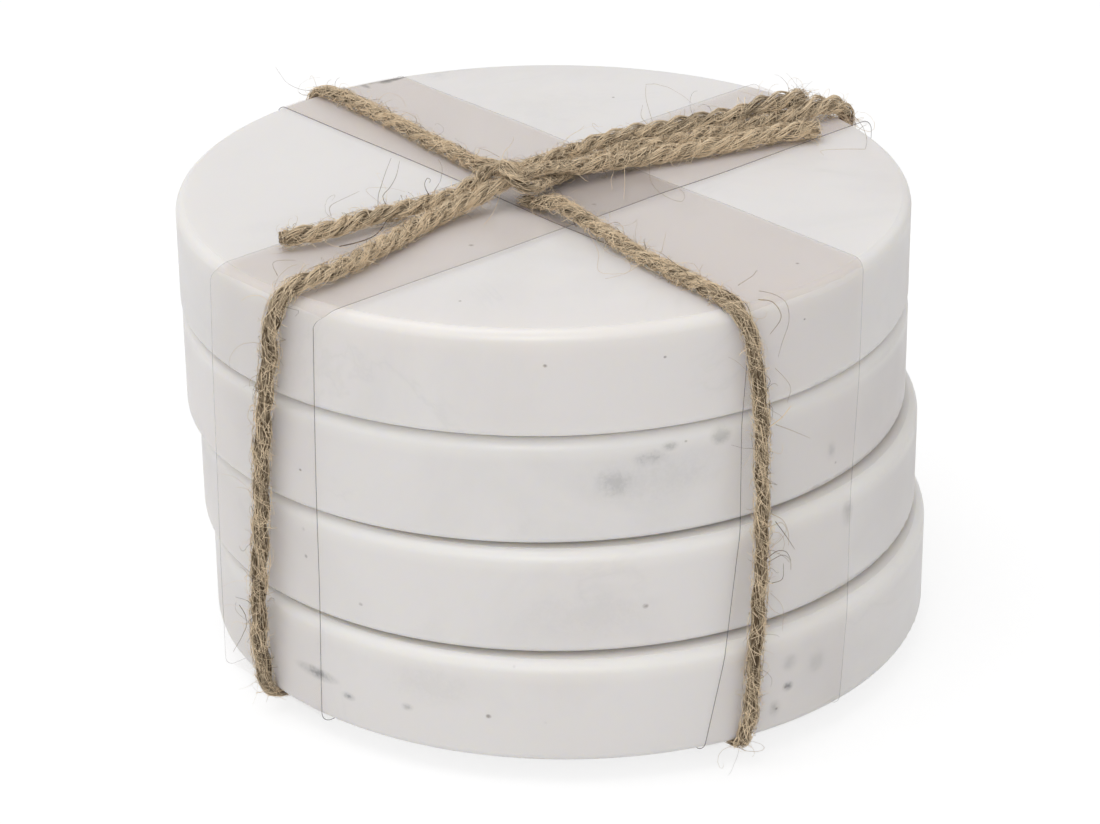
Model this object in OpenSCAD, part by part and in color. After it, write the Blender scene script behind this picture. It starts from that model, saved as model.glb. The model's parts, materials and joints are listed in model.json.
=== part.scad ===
// Four round stone coasters, stacked and tied crosswise with twine over two clear film bands

/* [Coaster] */
// Diameter of a coaster
coaster_d = 100; // [80:1:120]
// Thickness of a coaster
coaster_t = 14.7; // [8:0.1:20]
// Radius of the eased edge round the top face
top_edge_r = 1.6; // [0.5:0.1:3]
// Radius of the eased edge round the underside
base_edge_r = 1.2; // [0.5:0.1:3]

/* [Pads] */
// Diameter of a pad under a coaster
pad_d = 10; // [6:0.5:16]
// Thickness of a pad, which is the gap between two coasters
pad_t = 0.5; // [0.3:0.1:2]
// Distance from the coaster's axis to the middle of a pad
pad_ring_r = 36; // [20:1:39]
// Pads under each coaster
pad_count = 4; // [3:1:6]

/* [Film bands] */
// Width of the band that runs front to back
film_long_w = 21; // [10:0.5:30]
// Width of the band that runs left to right
film_cross_w = 22; // [10:0.5:30]
// Thickness of the film
film_t = 0.1; // [0.05:0.01:0.3]
// Slack between the film and what it lies on
film_gap = 0.05; // [0.03:0.01:0.2]

/* [Twine] */
// Diameter of the twine where it isn't pressed
twine_d = 3; // [2:0.1:3]

/* [Hidden] */

$fn = 96;

// Gap under the lowest coaster, which the twine and both films pass through
base_gap = 3.1;
// How far each coaster has slipped from the middle of the stack, lowest first
slip_x = [0.4, 0.5, -0.1, -0.5];
slip_y = [-2.7, -0.6, 1.3, 1.0];
// Angle of the first pad from the bands' direction
pad_turn = 45;
layer = coaster_t + pad_t;
function coaster_z(i) = base_gap + i * layer;
stack_top = coaster_z(3) + coaster_t;

// Place of each band: its middle at the top, its turn seen from above, and its drift down the side
film_long_at = 1.7;
film_long_turn = -1;
film_long_drift = -7.5;
film_cross_at = -3.3;
film_cross_turn = 1.5;
film_cross_drift = 3;
// Steps round a band's loop, the angle by which they are drawn in towards its sides, and its strips
film_steps = 72;
film_draw_in = 22;
film_strips = 8;

// Routes of the twine. A row is x, y, z, and where the twine is squeezed, its width and height.
// The main length: from the right-hand end through the knot, left, under the stack and back
// to the knot from the right, once round itself there, and out to the left-hand end
main_route = [
    [8, -2.4, 65.7], [4, -1.8, 66.1, 2.8, 2.2], [1, -1.4, 66.7, 3, 1.4], [-1.7, -1.2, 67.1, 3.2, 1.2],
    [-4.4, -1.3, 67.3, 3.2, 1.2], [-7, -1.4, 67.3, 3.2, 1.2], [-9.6, -1.5, 67.1, 3.2, 1.3],
    [-12.6, -1.2, 66.2, 3, 2.2], [-16, -0.8, 65.3], [-20, -0.9, 65.2], [-27, -2.4, 65.2], [-33.5, -4.2, 65.2],
    [-41, -6, 65.2], [-47.8, -6.6, 65.3], [-50.2, -6.3, 64.8], [-51.6, -5.9, 63.4], [-52.1, -5.4, 61.6],
    [-52.2, -4, 54], [-52.1, -2.2, 46], [-52, -0.9, 36], [-51.8, 0.4, 25], [-51.6, 1.6, 16], [-51.4, 1.9, 8],
    [-51.3, 1.7, 4.6], [-50.5, 1.5, 2.1], [-48.4, 1.3, 1.2], [-44, 1.1, 1.1], [-36, 0.8, 1.1], [-28, 0.5, 1.1],
    [-20, 0.2, 1.1], [-13, 0, 1.2, 3.2, 2.8], [-7.5, -0.3, 0.5, 4, 1.4], [-2, -0.6, 1.2, 3.2, 2.8],
    [6, -1, 1.1], [15, -1.5, 1.1], [24, -2, 1.1], [33, -2.5, 1.1], [42, -3, 1.1],
    [49.4, -3.4, 1.2], [51.4, -3.5, 2.1], [52.3, -3.7, 4.6],
    [52.3, -4.5, 14], [52.1, -5.4, 24], [51.9, -6, 32], [51.4, -6.6, 42], [51, -7.1, 52],
    [50.6, -7.6, 61.6], [50.1, -7.6, 63.6], [48.8, -7.5, 64.9], [46.6, -7.1, 65.3],
    [40, -6.1, 65.2], [34, -5.3, 65.2], [27, -4, 65.2], [20, -2.4, 65.2], [14, -0.2, 65.2],
    [8, 0.6, 64.8, 2.8, 1.8], [4, 0.4, 64.6, 3, 1.5], [1.2, -0.5, 64.7, 3, 1.3], [-1.2, -1.8, 65, 3.2, 1.2],
    [-3.6, -3.2, 65.5, 3.2, 1.2], [-6.2, -4.5, 65.8, 3, 1.3], [-8.3, -5.1, 66.6, 2.6, 1.9],
    [-9.3, -4.4, 67.8, 2.6, 1.8], [-9.3, -2.9, 68.8, 3, 1.4], [-8.9, -1.2, 69.1, 3.2, 1.2],
    [-9.1, 0.6, 68.5, 3, 1.5], [-9.8, 2.1, 67.3, 2.6, 1.9], [-10.8, 2.8, 66.1, 2.5, 2.4], [-12.6, 2.9, 65.65]];
// The second length: from the end at the back right through the knot, over the back rim,
// under the stack, over the front rim and up to the knot, where it is cut short
second_route = [
    [8, 3.4, 66], [4, 3.7, 65.8, 2.8, 2.6], [0, 4.4, 65.3, 2.8, 2.6], [-2.8, 6, 65.2], [-4.2, 9, 65.2],
    [-4, 13, 65.1], [-3.5, 18, 65.1], [-2.7, 25, 65.1], [-1.7, 33, 65.1], [-1, 40, 65.1], [-0.6, 46.5, 65.1],
    [-0.5, 49.4, 65.1], [-0.5, 51.2, 64.7], [-0.5, 52.4, 63.4], [-0.6, 52.8, 61.6],
    [-1, 53, 54], [-1.4, 53, 44], [-1.7, 53, 34], [-1.9, 51.9, 26], [-1.9, 51, 19], [-2, 50, 12],
    [-2, 49, 4.8], [-2.1, 48.2, 2.2], [-2.2, 46, 1.2], [-2.6, 40, 1.1], [-3.3, 31, 1.1], [-4.1, 22, 1.1],
    [-5, 13, 1.1], [-6, 5.8, 1.5, 3.2, 2.6], [-7.5, -0.3, 2.1, 4, 1.2], [-8.3, -7, 1.5, 3.2, 2.6], [-9, -14, 1.1],
    [-10, -22, 1.1], [-11, -30, 1.1], [-12, -38, 1.1], [-13, -46, 1.1],
    [-13.3, -49.8, 1.2], [-13.4, -51.8, 2.2], [-13.4, -52.6, 4.6],
    [-12.9, -53.1, 14], [-11.8, -52.7, 24], [-10.7, -52.2, 33], [-10, -51.5, 42], [-9.6, -50.8, 51],
    [-9.8, -50, 61.2], [-10.1, -49.3, 63.5], [-10.7, -48, 64.8], [-11.1, -46, 65.1],
    [-11.3, -40, 65.1], [-10.8, -33, 65.1], [-9.8, -26, 65.1], [-8.6, -18.6, 65.1], [-7.8, -12, 65.2],
    [-7.5, -9, 64.9, 3, 2.4], [-7.3, -6.6, 64.5, 3.2, 1.6], [-7.1, -4.4, 64.4, 3.2, 1.2], [-6.9, -2.2, 64.4, 3.2, 1.2]];
// The three free ends, each from the knot to its cut
left_end_route = [[-12.6, 2.9, 65.65], [-14.4, 3, 65.2], [-17.4, 3.1, 65.3], [-21, 3.3, 65.3], [-25, 4, 65.3],
                  [-30, 4.5, 65.4], [-35, 4.7, 65.3], [-38.6, 5.6, 65.2], [-41.2, 6.8, 65.2]];
right_end_route = [[8, -2.4, 65.7], [12, -3, 65.3], [16, -4.3, 65.2], [20, -6.1, 65.2], [26, -7.9, 65.2],
                   [31, -9.2, 65.2], [36, -10.9, 65.2], [39.2, -12.5, 65.2]];
back_end_route = [[8, 3.4, 66], [12, 3.1, 66.2], [16, 2.2, 66], [20, 0.9, 65.8], [26, -0.6, 65.8],
                  [31, -1.8, 66.1], [36.6, -3, 67], [41.4, -4.3, 67.9]];
// Beyond the knot the routes move out with the coasters, so that the legs keep their slack to the rim,
// and above the lower turns they rise with the stack's top, so that this row of the second length lies on it
leg_slack = 0.8;
lying_row = 5;
knot_reach = 17;
route_low = 4.6;
route_high = 61.6;
// Sides of the swept twine
twine_sides = 8;
// Depth inside the stack's surface from which the twine's press direction is taken
core_depth = 8;

// One coaster, with its axis at the origin and its underside at zero
module coaster_blank() {
    rotate_extrude() {
        translate([0, base_edge_r]) square([coaster_d / 2, coaster_t - base_edge_r - top_edge_r]);
        square([coaster_d / 2 - base_edge_r, coaster_t]);
        square([coaster_d / 2 - top_edge_r, coaster_t]);
        intersection() {
            translate([coaster_d / 2 - base_edge_r, base_edge_r]) circle(base_edge_r);
            square([coaster_d / 2, coaster_t]);
        }
        intersection() {
            translate([coaster_d / 2 - top_edge_r, coaster_t - top_edge_r]) circle(top_edge_r);
            square([coaster_d / 2, coaster_t]);
        }
    }
}

module coaster(i) {
    color("ghostwhite") translate([slip_x[i], slip_y[i], coaster_z(i)]) coaster_blank();
}

// The pads stuck under one coaster
module coaster_pads(i) {
    color("lightgray") translate([slip_x[i], slip_y[i], coaster_z(i) - pad_t])
        for (k = [0:pad_count - 1])
            rotate(pad_turn + k * 360 / pad_count) translate([pad_ring_r, 0, 0]) cylinder(d = pad_d, h = pad_t);
}

// Film band: a taut loop round the coasters, taken slice by slice across its width
function along(i, turn) = slip_x[i] * cos(turn) + slip_y[i] * sin(turn);
function across(i, turn) = slip_y[i] * cos(turn) - slip_x[i] * sin(turn);
function drift_at(z, drift) = drift * (stack_top - z) / (stack_top - base_gap);
function half_chord(r, lateral) = sqrt(max(0, r * r - lateral * lateral));
// Centres of the edge curves in one slice, each with its radius
function edge_spots(lateral, turn, drift) = [
    for (i = [0:3], side = [-1, 1], top = [0, 1])
        let (er = top == 1 ? top_edge_r : base_edge_r,
             z = coaster_z(i) + (top == 1 ? coaster_t - er : er),
             l = lateral + drift_at(z, drift) - across(i, turn))
        [along(i, turn) + side * (half_chord(coaster_d / 2, l) - er), z, er]];
function reach(s, a) = s[0] * cos(a) + s[1] * sin(a) + s[2];
function furthest(spots, a, k = 0, best = 0) =
    k == len(spots) ? best : furthest(spots, a, k + 1, reach(spots[k], a) > reach(spots[best], a) ? k : best);
// A point of the film at angle a round the loop, off beyond the coasters' surface
function film_point(a, lateral, turn, drift, off) =
    let (spots = edge_spots(lateral, turn, drift),
         s = spots[furthest(spots, a)],
         u = s[0] + (s[2] + off) * cos(a),
         z = s[1] + (s[2] + off) * sin(a),
         l = lateral + drift_at(z, drift))
    [u * cos(turn) - l * sin(turn), u * sin(turn) + l * cos(turn), z];

// Angle of a step, with the steps closest at the sides, where the coasters' slips bend the film
function film_angle(k) = let (t = k * 360 / film_steps) t - film_draw_in * sin(2 * t);

module film_band(at, width, turn, drift, off) {
    lats = [for (j = [0:film_strips]) at + width * (j / film_strips - 0.5)];
    per = 2 * (film_strips + 1);
    pts = [for (k = [0:film_steps - 1])
        let (a = film_angle(k))
        each concat(
            [for (j = [0:film_strips]) film_point(a, lats[j], turn, drift, off)],
            [for (j = [film_strips:-1:0]) film_point(a, lats[j], turn, drift, off + film_t)])];
    faces = [for (k = [0:film_steps - 1], j = [0:per - 1])
        let (a = k * per + j, b = k * per + (j + 1) % per,
             k2 = (k + 1) % film_steps, c = k2 * per + (j + 1) % per, d = k2 * per + j)
        each [[a, b, c], [a, c, d]]];
    color("lavender", 0.5) polyhedron(pts, faces);
}

// Twine: a tube swept along a route, pressed flat where a row gives a width and a height
function unit(v) = v / norm(v);
function share_of(v, from, to) = min(1, max(0, (v - from) / (to - from)));
legs_at = max([for (p = main_route) abs(p[0])]);
outward = coaster_d / 2 + twine_d / 2 + leg_slack - legs_at;
upward = stack_top + 2 * film_t + twine_d / 2 - second_route[lying_row][2];
function spread(v) = v + sign(v) * outward * share_of(abs(v), knot_reach, legs_at - twine_d);
function raised(z) = z + upward * share_of(z, route_low, route_high);
function spot(route, k) = [spread(route[k][0]), spread(route[k][1]), raised(route[k][2])];
function route_way(route, k) =
    unit(spot(route, min(k + 1, len(route) - 1)) - spot(route, max(k - 1, 0)));
// Direction away from the stack, which turns smoothly over its edges
function away(p) =
    let (r = norm([p[0], p[1]]),
         inner = coaster_d / 2 - core_depth,
         share = r > inner ? inner / r : 1,
         z = min(max(p[2], core_depth), stack_top - core_depth))
    unit([p[0] * (1 - share), p[1] * (1 - share), p[2] - z]);
function ring(route, k) =
    let (p = spot(route, k), t = route_way(route, k), n = away(p),
         v = unit(n - (n * t) * t), u = cross(t, v),
         pressed = len(route[k]) > 3,
         w = pressed ? route[k][3] : twine_d,
         h = pressed ? route[k][4] : twine_d)
    [for (j = [0:twine_sides - 1])
        let (a = (j + 0.5) * 360 / twine_sides, q = p + u * (w / 2) * cos(a) + v * (h / 2) * sin(a))
        [q[0], q[1], max(q[2], 0)]];

module twine(route) {
    n = len(route);
    pts = [for (k = [0:n - 1]) each ring(route, k)];
    walls = [for (k = [0:n - 2], j = [0:twine_sides - 1])
        let (a = k * twine_sides + j, b = k * twine_sides + (j + 1) % twine_sides)
        each [[a, b, a + twine_sides], [b, b + twine_sides, a + twine_sides]]];
    first = [for (j = [twine_sides - 1:-1:0]) j];
    last = [for (j = [0:twine_sides - 1]) (n - 1) * twine_sides + j];
    color("burlywood") polyhedron(pts, concat([first], walls, [last]));
}

// Least gap of a route to itself, taken between the points of rings that are not neighbours
neighbour_rows = 6;
function ring_gap(a, b) = min([for (p = a, q = b) norm(p - q)]);
function self_gap(route) =
    let (n = len(route), rings = [for (k = [0:n - 1]) ring(route, k)])
    min([for (i = [0:n - neighbour_rows - 1], j = [i + neighbour_rows:n - 1]) ring_gap(rings[i], rings[j])]);
echo(main_least_gap = self_gap(main_route));
echo(second_least_gap = self_gap(second_route));

module film_band_long() {
    film_band(-film_long_at, film_long_w, 90 + film_long_turn, -film_long_drift, film_gap);
}

module film_band_cross() {
    film_band(film_cross_at, film_cross_w, film_cross_turn, film_cross_drift, film_t + 2 * film_gap);
}

coaster(0);  // coaster_1
coaster(1);  // coaster_2
coaster(2);  // coaster_3
coaster(3);  // coaster_4
coaster_pads(0);  // coaster_pads_1
coaster_pads(1);  // coaster_pads_2
coaster_pads(2);  // coaster_pads_3
coaster_pads(3);  // coaster_pads_4
film_band_long();
film_band_cross();
twine(main_route);  // twine_main
twine(second_route);  // twine_second
twine(left_end_route);  // twine_end_left
twine(right_end_route);  // twine_end_right
twine(back_end_route);  // twine_end_back
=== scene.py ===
"""A stack of four round marble coasters on felt dots, held by two crossed film bands and tied
crosswise with jute twine. It is laid out as a Blender add-on and run as a script."""

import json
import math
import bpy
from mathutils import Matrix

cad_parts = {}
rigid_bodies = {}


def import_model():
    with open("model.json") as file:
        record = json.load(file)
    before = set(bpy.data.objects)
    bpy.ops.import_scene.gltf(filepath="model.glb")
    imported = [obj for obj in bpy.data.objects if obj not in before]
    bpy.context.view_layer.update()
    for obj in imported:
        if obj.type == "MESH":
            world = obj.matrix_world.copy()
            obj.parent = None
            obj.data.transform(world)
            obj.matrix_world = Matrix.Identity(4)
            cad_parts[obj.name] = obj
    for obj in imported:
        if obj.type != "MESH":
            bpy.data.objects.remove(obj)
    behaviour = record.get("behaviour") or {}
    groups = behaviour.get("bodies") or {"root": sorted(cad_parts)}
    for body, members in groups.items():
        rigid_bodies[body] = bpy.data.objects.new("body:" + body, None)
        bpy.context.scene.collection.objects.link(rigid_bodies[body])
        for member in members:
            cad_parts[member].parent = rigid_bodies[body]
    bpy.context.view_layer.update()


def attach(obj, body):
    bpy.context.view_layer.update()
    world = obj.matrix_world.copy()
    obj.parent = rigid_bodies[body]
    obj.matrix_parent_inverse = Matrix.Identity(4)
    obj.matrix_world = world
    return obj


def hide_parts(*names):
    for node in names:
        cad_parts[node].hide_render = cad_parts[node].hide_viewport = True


bl_info = {
    "name": "Tied Coaster Stack",
    "version": (1, 0, 0),
    "blender": (4, 5, 0),
    "location": "3D View > Sidebar > Coasters",
    "description": "Builds four round marble coasters tied with jute twine over clear film bands",
    "category": "Object",
}

import bpy
import numpy as np
from bpy.props import FloatProperty, FloatVectorProperty, IntProperty, PointerProperty
from mathutils import Matrix, Vector

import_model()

MM = 0.001
BODY = "root"
SHADE = "fibre_shade"
COASTERS = ["coaster_1", "coaster_2", "coaster_3", "coaster_4"]
PADS = ["coaster_pads_1", "coaster_pads_2", "coaster_pads_3", "coaster_pads_4"]

# Stack, in millimetres. The slip is that of each coaster from the middle, lowest first.
COASTER_R = 50.0
COASTER_T = 14.7
TOP_EDGE_R = 1.6
BASE_EDGE_R = 1.2
LAYER = 15.2
BASE_GAP = 3.1
STACK_TOP = 63.4
SLIP = [(0.4, -2.7), (0.5, -0.6), (-0.1, 1.3), (-0.5, 1.0)]

# Twine, in millimetres: the steps of its smooth curve and of its plies, the depth below the stack's skin of
# the core that its outer side turns away from, how much wider and higher a squeezed place is drawn than the
# route says, and the height above which hairs grow
LINE_STEP = 0.1
TWINE_STEP = 0.6
CORE_DEPTH = 8.0
SQUEEZE_WIDER = 0.1
SQUEEZE_HIGHER = 0.55
FOOT_HEIGHT = 2.6

# The plies touch one another. Their radius and their distance from the middle are shares of the twine's
# radius, and their dark core is a share of theirs. Bundles and hairs run on to a point at their ends, by
# these millimetres, and a hair whose points are listed has this many points.
PLIES = 3
PLY_RADIUS = 0.464
PLY_PLACE = 0.536
# The core is painted dark, as the shade deep between the plies.
CORE_SHARE = 0.60
BUNDLE_TIP = 0.12
HAIR_ROOT = 0.02
HAIR_TIP = 0.05
PLACED_POINTS = 14

# Routes of the twine in millimetres: x, y, z, and where it is squeezed, its width and height
MAIN_ROUTE = [
    [8, -2.5, 65.6], [4, -1.9, 66, 2.8, 2.2], [1, -1.4, 66.6, 3, 1.4], [-1.7, -1.2, 67.1, 3.2, 1.2],
    [-4.4, -1.3, 67.3, 3.2, 1.2], [-7, -1.4, 67.3, 3.2, 1.2], [-9.6, -1.5, 67.1, 3.2, 1.3],
    [-12.6, -1.2, 66.4, 3, 2.2], [-16, -0.8, 65.7], [-20, -0.9, 65.2], [-27, -2.4, 65.2],
    [-33.5, -4.2, 65.2], [-41, -6, 65.2], [-47.4, -6.6, 65.2], [-49.9, -6.3, 64.7], [-51.4, -5.9, 63.3],
    [-52, -5.4, 61.4], [-52.2, -4, 54], [-52.1, -2.2, 46], [-52, -0.9, 36], [-51.8, 0.4, 25],
    [-51.6, 1.6, 16], [-51.3, 1.9, 8], [-51, 1.7, 5.4, 3, 2.2], [-50.3, 1.5, 3.3, 2.8, 1.6],
    [-48.6, 1.3, 2.3, 2.2, 0.8], [-44, 1.1, 1.9, 2, 0.6], [-36, 0.8, 1.1], [-28, 0.5, 1.1],
    [-20, 0.2, 1.1], [-13, 0, 1.2, 3.2, 2.8], [-7.5, -0.3, 0.5, 4, 1.4], [-2, -0.6, 1.2, 3.2, 2.8],
    [6, -1, 1.1], [15, -1.5, 1.1], [24, -2, 1.1], [33, -2.5, 1.1], [42, -3, 1.1], [49.4, -3.4, 1.2],
    [51.4, -3.5, 2.1], [52.3, -3.7, 4.6], [52.3, -4.5, 14], [52.1, -5.4, 24], [51.9, -6, 32],
    [51.4, -6.6, 42], [51, -7.1, 52], [50.4, -7.6, 61.4], [49.9, -7.6, 63.4], [48.5, -7.5, 64.7],
    [46.4, -7.1, 65.2], [40, -6.1, 65.2], [34, -5.3, 65.2], [27, -4, 65.2], [20, -2.4, 65.2],
    [14, -0.2, 65.2], [8, 0.7, 64.8, 2.8, 1.8], [4, 0.6, 64.6, 3, 1.5], [1.2, 0, 64.7, 3, 1.3],
    [-1.2, -0.9, 65.1, 3.2, 1.2], [-3.6, -2.1, 65.6, 3.2, 1.2], [-6.2, -3.3, 66, 3, 1.3],
    [-8.2, -3.9, 66.8, 2.6, 1.9], [-9.2, -3.5, 67.9, 2.6, 1.8], [-9.3, -2.3, 68.8, 3, 1.4],
    [-8.9, -1.2, 69.1, 3.2, 1.2], [-9.1, 0.6, 68.5, 3, 1.5], [-9.8, 2.1, 67.3, 2.6, 1.9],
    [-10.8, 2.8, 66.1, 2.5, 2.4], [-12.6, 2.9, 65.65],
]
SECOND_ROUTE = [
    [8, 3.4, 66], [4, 3.7, 65.8, 2.8, 2.6], [0, 4.4, 65.3, 2.8, 2.6], [-2.8, 6, 65.2], [-4.2, 9, 65.2],
    [-4, 13, 65.1], [-3.5, 18, 65.1], [-2.7, 25, 65.1], [-1.7, 33, 65.1], [-1, 40, 65.1],
    [-0.6, 46, 65, 3, 2.2], [-0.5, 49, 64.7, 3, 1.6], [-0.5, 50.8, 64.1, 3, 1.4],
    [-0.5, 51.9, 62.9, 3, 1.4], [-0.6, 52.3, 61, 3, 1.8], [-1, 53, 54], [-1.4, 53, 44], [-1.7, 53, 34],
    [-1.9, 51.9, 26], [-1.9, 51, 19], [-2, 50, 12], [-2, 49, 4.8], [-2.1, 48.2, 2.2], [-2.2, 46, 1.2],
    [-2.6, 40, 1.1], [-3.3, 31, 1.1], [-4.1, 22, 1.1], [-5, 13, 1.1], [-6, 5.8, 1.5, 3.2, 2.6],
    [-7.5, -0.3, 2.1, 4, 1.2], [-8.3, -7, 1.5, 3.2, 2.6], [-9, -14, 1.1], [-10, -22, 1.1],
    [-11, -30, 1.1], [-12, -38, 1.1], [-12.6, -45.5, 1.8, 2, 0.7], [-12.8, -49.4, 2, 2.3, 0.9],
    [-13, -51.3, 2.7, 2.8, 1.6], [-13, -52.4, 4.8, 3, 2.2], [-12.5, -53.1, 14], [-11.3, -52.7, 24],
    [-10.5, -52.2, 33], [-10, -51.5, 42], [-9.8, -50.9, 51], [-10.3, -50.5, 56], [-10.8, -50.2, 59.5],
    [-11.3, -49.5, 62], [-11.7, -48.2, 63.9], [-11.9, -46.1, 64.9], [-11.7, -43.5, 65.1],
    [-11.3, -40, 65.1], [-10.8, -33, 65.1], [-9.8, -26, 65.1], [-8.4, -18.6, 65.4], [-7.6, -12, 65.9],
    [-7.3, -9, 65.8], [-7.2, -6.6, 65.2, 3, 2.2], [-7.1, -4.4, 64.4, 3.2, 1.2],
    [-6.9, -2.2, 64.4, 3.2, 1.2],
]
LEFT_END_ROUTE = [
    [-12.6, 2.9, 65.65], [-14.4, 3, 65.2], [-17.4, 3.1, 65.3], [-21, 3.3, 65.3], [-25, 4, 65.3],
    [-30, 4.5, 65.4], [-35, 4.7, 65.3], [-38.6, 5.6, 65.2], [-41.2, 6.8, 65.2],
]
RIGHT_END_ROUTE = [
    [8, -2.5, 65.6], [12, -3.4, 65.3], [16, -4.6, 65.2], [20, -6.1, 65.2], [26, -7.9, 65.2],
    [31, -9.2, 65.2], [36, -10.9, 65.2], [39.2, -12.5, 65.2],
]
BACK_END_ROUTE = [
    [8, 3.4, 66], [12, 2.8, 66.2], [16, 1.6, 66.3], [20, 0, 66.4], [26, -1.7, 66.5], [31, -3, 66.6],
    [36.6, -4.2, 66.8], [41.4, -5.2, 67.1], [43.4, -5.8, 67.2],
]

# Rows at which the main and the second route are cut in two pieces
MAIN_CUT_ROW = 32
SECOND_CUT_ROW = 29

# Long hairs with a place of their own, by the piece that they grow from: points in millimetres, half
# thickness and shade
LONG_HAIRS = {
    "jute_end_left": [
        ([(-26.5, 4.6, 66), (-25.3, 6.1, 66.3), (-21, 10.5, 66.3), (-16.5, 14.9, 66.1),
          (-13.6, 17.6, 66)], 0.045, 0.1),
        ([(-25, 4.8, 66), (-24, 6.7, 66.2), (-21, 8.8, 66.2), (-18, 11.3, 66.1),
          (-13.5, 15.9, 66)], 0.05, 0.1),
        ([(-19.4, 2.6, 66.5), (-19, 3.8, 67), (-17.5, 5.5, 67.2), (-16.7, 6, 67.2), (-16.9, 5.2, 67.2),
          (-17.6, 4.6, 67.2)], 0.06, 0),
        ([(-33, 6.4, 66), (-30.7, 9.4, 66), (-27.6, 10.3, 66), (-24.6, 10.9, 66)], 0.04, 0.2),
        ([(-25.5, 5, 66), (-22.9, 11, 66), (-20.8, 9, 66), (-20.2, 6.5, 66)], 0.025, 0.5),
    ],
    "jute_main_left": [
        ([(-36, 1, 64.2), (-34, 0.3, 64.3), (-30.1, 0.7, 64.3), (-28.2, 1.8, 64.4),
          (-24.7, 4.3, 64.8)], 0.1, -0.1),
        ([(-50.5, -4.8, 66), (-49.5, -2.5, 66.5), (-47.5, -0.8, 66), (-44.2, -0.3, 65)], 0.04, 0.2),
        ([(-52.6, 4.3, 16.1), (-52.8, 2.7, 15.1), (-53, 2.3, 14.3), (-52.8, 3.4, 12.3),
          (-52.5, 6.4, 8.1)], 0.05, 0.1),
        ([(-10.5, -1.6, 65.5), (-11.8, -2.6, 65), (-14.8, -4.8, 64.5), (-17.7, -6.6, 64.5)], 0.05, 1.0),
    ],
    "jute_main_right": [
        ([(47, -9, 65.5), (46.9, -11.6, 65), (46.6, -13.6, 64.2), (44.8, -16.2, 64), (42.1, -19.1, 64),
          (40.1, -20.7, 64)], 0.04, 0.2),
        ([(40.1, -20.7, 64), (37.6, -18.4, 64), (35, -17, 64), (34.2, -18.4, 64)], 0.035, 0.6),
        ([(9.8, -1.4, 64.6), (8.4, -3.5, 64.4), (6, -5.6, 64.3), (3.8, -8.2, 64.2)], 0.055, 1.0),
    ],
    "jute_end_right": [
        ([(11, -3, 65), (10, -4, 64.8), (6.4, -7.9, 64.4), (2.5, -11.9, 64.2)], 0.06, 1.0),
        ([(14, -4.6, 65), (9.1, -10.4, 64.2), (7.1, -15.7, 64.2), (7.2, -18, 64.2), (9.6, -16.3, 64.2),
          (10.4, -14.3, 64.3)], 0.035, 0.2),
        ([(34, -10.5, 66.5), (35, -11.4, 68), (36.8, -11.6, 69), (38.4, -11.6, 69.6)], 0.04, 0.9),
    ],
    "jute_end_back": [
        ([(21.5, 2.4, 66), (24, 6, 66.5), (28, 11, 67), (31, 13.5, 67), (32.8, 12, 66.5), (33, 9, 66),
          (31, 4, 66)], 0.03, 0.3),
        ([(20.8, 2.6, 66), (22.5, 6, 66), (26, 9.5, 66)], 0.035, 0.3),
    ],
    "jute_second_front": [
        ([(-11.2, -51.2, 65.8), (-8.8, -51.4, 64.8), (-7.5, -51.6, 62.4), (-9.2, -51.4, 60.6)], 0.075, 0.3),
        ([(-10.7, -50.8, 66.7), (-8.6, -51.2, 65.8), (-6.2, -51.4, 63.6), (-6.1, -51.6, 61.4),
          (-7, -51.4, 58.9), (-7.6, -51.3, 56.9)], 0.04, 0.2),
        ([(-8.2, -51.4, 55.6), (-6.6, -51.4, 53.9), (-5.3, -51.4, 51.8), (-5.8, -51.3, 50.1)], 0.035, 0.3),
        ([(-9.6, -51.9, 48), (-7.7, -52, 48.6), (-5.8, -52, 49.8)], 0.09, 1.0),
        ([(-8.4, -51.9, 48), (-5.9, -52, 46.5), (-2, -51.8, 44)], 0.045, 0.3),
        ([(-9.8, -52.8, 36.2), (-7.8, -53, 34.6), (-6.8, -53, 32.4), (-6.6, -52.9, 30.6)], 0.05, 0.6),
        ([(-9, -52.8, 34.8), (-7.3, -53, 32.3), (-5.4, -52.8, 29.6)], 0.06, 0),
        ([(-9.8, -52.8, 34.4), (-8.1, -53, 34.4), (-7.2, -53, 33), (-8.4, -53, 31.9),
          (-9.8, -52.8, 31.4)], 0.045, 0.5),
        ([(-11, -53, 30), (-9, -53.2, 30.7), (-7.2, -53.1, 29.9), (-6.1, -52.9, 28.2)], 0.06, 0),
        ([(-10.4, -53, 29.5), (-8.1, -53.2, 29.8), (-6.3, -53, 28.2), (-6, -52.8, 26.8)], 0.05, 0.1),
        ([(-9.7, -53, 26.2), (-7.9, -53.1, 26.2), (-7.6, -53, 28.3)], 0.055, 0.1),
        ([(-9.9, -53, 24.9), (-7.6, -53, 22), (-7.3, -52.8, 18.3)], 0.03, 0.5),
        ([(-9.3, -17, 64.4), (-9.7, -19.4, 64.2), (-11.7, -24.3, 64), (-11.9, -28.7, 64), (-14, -30.6, 64),
          (-17.7, -30.2, 64)], 0.035, 0.6),
        ([(-9.3, -18.1, 64.3), (-12.3, -23, 64), (-16.6, -29, 64), (-14.6, -30.6, 64),
          (-11.9, -30, 64)], 0.035, 0.7),
        ([(-10.2, -46.6, 66), (-8.6, -47.4, 67), (-6.2, -45.8, 66.6), (-5.2, -45, 66)], 0.045, 0.2),
    ],
    "jute_second_back": [
        ([(-8.6, 0.6, 69.6), (-8.9, 2.6, 70), (-8, 5.6, 69.4), (-6.4, 5.9, 69)], 0.04, 0.5),
    ],
}
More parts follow.
